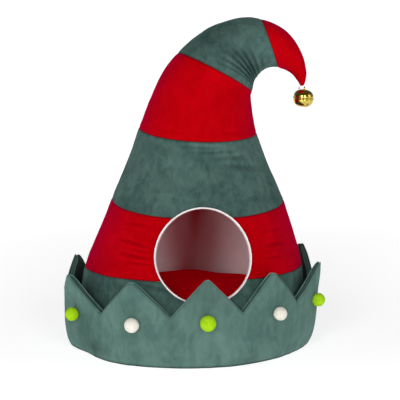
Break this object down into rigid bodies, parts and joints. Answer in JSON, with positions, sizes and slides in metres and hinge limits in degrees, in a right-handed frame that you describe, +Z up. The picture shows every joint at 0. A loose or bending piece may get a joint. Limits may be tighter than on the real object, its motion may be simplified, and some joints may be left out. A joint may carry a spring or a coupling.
{
  "type": "plush pet house in the form of an elf hat",
  "caption": "Padded elf hat pet house: a striped velvet cone with a curled tip and bell, a round bound way in, a cushion inside and a zigzag collar with pompoms.",
  "frame": {"origin": "on the floor under the middle of the round foot, in the flat underside of the floor pad", "axes": "+Z up, -Y out of the way in, +X towards the side that the tip curls over to"},
  "size_m": [0.5197, 0.533, 0.6452],
  "materials": {
    "sole": "dark woven sole cloth",
    "lining": "pale short-pile lining",
    "green_velvet": "grey-green velvet",
    "red_velvet": "bright red velvet",
    "collar_velvet": "grey-green velvet, padded",
    "white_binding": "white bias binding",
    "lime_felt": "lime felted ball",
    "white_felt": "off-white felted ball",
    "gold_plate": "polished gold-plated sheet",
    "red_ribbon": "red ribbon"
  },
  "bodies": {
    "root": {"floor_pad": "sole", "lining": "lining", "band_1_green": "green_velvet", "band_2_red": "red_velvet", "band_3_green": "green_velvet", "band_4_red": "red_velvet", "band_5_green": "green_velvet", "band_6_red": "red_velvet", "opening_binding": "white_binding", "cushion": "red_velvet", "collar": "collar_velvet", "pompom_01": "lime_felt", "pompom_02": "white_felt", "pompom_03": "lime_felt", "pompom_04": "white_felt", "pompom_05": "lime_felt", "pompom_06": "white_felt", "pompom_07": "lime_felt", "pompom_08": "white_felt", "pompom_09": "lime_felt", "pompom_10": "white_felt", "bell": "gold_plate", "bell_loop": "red_ribbon"}
  },
  "joints": []
}
